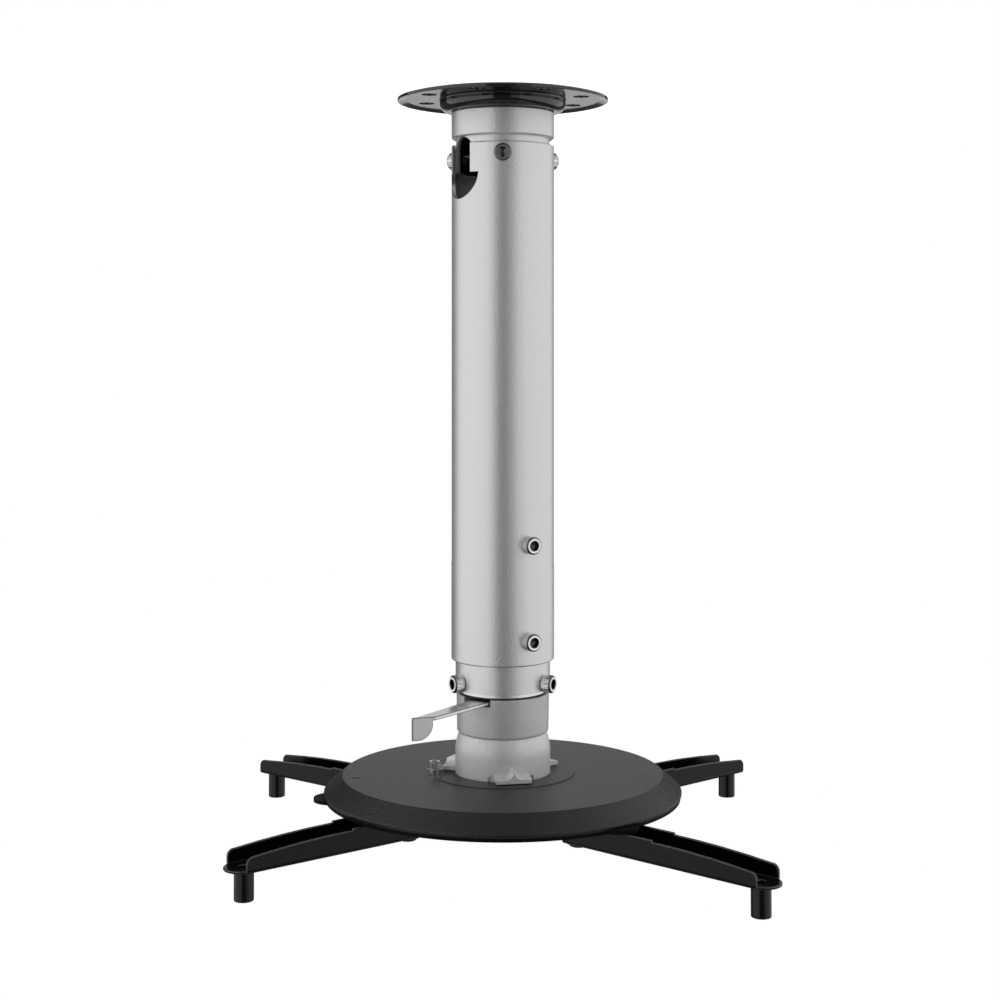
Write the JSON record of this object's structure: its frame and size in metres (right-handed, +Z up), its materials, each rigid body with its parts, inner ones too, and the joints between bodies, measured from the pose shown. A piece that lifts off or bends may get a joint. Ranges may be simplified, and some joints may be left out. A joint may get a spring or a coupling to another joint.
{
  "type": "projector ceiling mount",
  "caption": "Telescopic projector ceiling mount: round ceiling plate, tube column with a cable keyhole, lever-clamped ball joint, round cover and adjustable arms on posts.",
  "frame": {"origin": "centre of the ceiling plate's upper face", "axes": "+Z up into the ceiling along the column, -Y towards the viewer, +X to the viewer's right"},
  "size_m": [0.3097, 0.2632, 0.4323],
  "materials": {
    "black_steel": "gloss black powder coat on steel",
    "silver_paint": "satin silver paint",
    "inner_silver": "satin silver steel",
    "bright_steel": "bright plated steel strip",
    "screw_steel": "plated steel screws",
    "plain_steel": "plain steel",
    "black_plastic": "matt moulded black plastic"
  },
  "bodies": {
    "ceiling": {"ceiling_plate": "black_steel", "neck_tube": "black_steel", "top_socket": "silver_paint", "socket_screws": "plain_steel", "outer_tube": "silver_paint", "top_screws": "screw_steel", "height_screws": "screw_steel"},
    "column": {"inner_tube": "inner_silver", "swivel_hub": "silver_paint", "hub_screws": "screw_steel", "hub_washer": "plain_steel", "friction_washer": "black_plastic"},
    "swivel": {"knuckle": "silver_paint", "ball_bolt": "plain_steel", "lock_nut": "plain_steel"},
    "clamp_lever": {"lever": "bright_steel", "lever_nut": "plain_steel"},
    "tilt": {"pressure_cup": "plain_steel"},
    "head": {"base_ring": "silver_paint", "base_screws": "plain_steel", "cover": "black_plastic", "cover_screw": "screw_steel", "cover_washer": "screw_steel", "carrier_plate": "black_steel", "arm_nuts": "plain_steel"},
    "pivot_front_left": {"pivot_screw_front_left": "plain_steel", "pivot_washer_front_left": "plain_steel"},
    "arm_front_left": {"arm_front_left": "black_steel", "post_front_left": "black_steel"},
    "pivot_front_right": {"pivot_screw_front_right": "plain_steel", "pivot_washer_front_right": "plain_steel"},
    "arm_front_right": {"arm_front_right": "black_steel", "post_front_right": "black_steel"},
    "pivot_back_left": {"pivot_screw_back_left": "plain_steel", "pivot_washer_back_left": "plain_steel"},
    "arm_back_left": {"arm_back_left": "black_steel", "post_back_left": "black_steel"},
    "pivot_back_right": {"pivot_screw_back_right": "plain_steel", "pivot_washer_back_right": "plain_steel"},
    "arm_back_right": {"arm_back_right": "black_steel", "post_back_right": "black_steel"}
  },
  "joints": [
    {"name": "height", "type": "slide", "parent": "ceiling", "child": "column", "axis": [0, 0, -1], "range_m": [0, 0.22]},
    {"name": "swivel", "type": "hinge", "parent": "column", "child": "swivel", "pos_m": [0, 0, -0.3413], "axis": [0, 0, 1], "continuous": true},
    {"name": "clamp", "type": "hinge", "parent": "swivel", "child": "clamp_lever", "pos_m": [0, 0, -0.3433], "axis": [0, 0, 1], "range_deg": [-11, 0]},
    {"name": "tilt", "type": "hinge", "parent": "swivel", "child": "tilt", "pos_m": [0, 0, -0.37518], "axis": [1, 0, 0], "range_deg": [-13.5, 16.4]},
    {"name": "roll", "type": "hinge", "parent": "tilt", "child": "head", "pos_m": [0, 0, -0.37518], "axis": [0, 0.9997, -0.0251], "range_deg": [-15, 15]},
    {"name": "turn_front_left", "type": "hinge", "parent": "head", "child": "pivot_front_left", "pos_m": [-0.05245, -0.039, -0.39903], "axis": [0, 0.0251, 0.9997], "range_deg": [-25, 25]},
    {"name": "reach_front_left", "type": "slide", "parent": "pivot_front_left", "child": "arm_front_left", "axis": [-0.7793, -0.6264, 0.0157], "range_m": [-0.0125, 0.0167]},
    {"name": "turn_front_right", "type": "hinge", "parent": "head", "child": "pivot_front_right", "pos_m": [0.04126, -0.05084, -0.39873], "axis": [0, 0.0251, 0.9997], "range_deg": [-25, 25]},
    {"name": "reach_front_right", "type": "slide", "parent": "pivot_front_right", "child": "arm_front_right", "axis": [0.742, -0.6702, 0.0168], "range_m": [-0.027, 0.0022]},
    {"name": "turn_back_left", "type": "hinge", "parent": "head", "child": "pivot_back_left", "pos_m": [-0.05331, 0.03655, -0.40093], "axis": [0, 0.0251, 0.9997], "range_deg": [-25, 25]},
    {"name": "reach_back_left", "type": "slide", "parent": "pivot_back_left", "child": "arm_back_left", "axis": [-0.7727, 0.6345, -0.016], "range_m": [-0.0281, 0.0011]},
    {"name": "turn_back_right", "type": "hinge", "parent": "head", "child": "pivot_back_right", "pos_m": [0.05518, 0.03371, -0.40086], "axis": [0, 0.0251, 0.9997], "range_deg": [-25, 25]},
    {"name": "reach_back_right", "type": "slide", "parent": "pivot_back_right", "child": "arm_back_right", "axis": [0.749, 0.6624, -0.0167], "range_m": [-0.0277, 0.0015]}
  ]
}
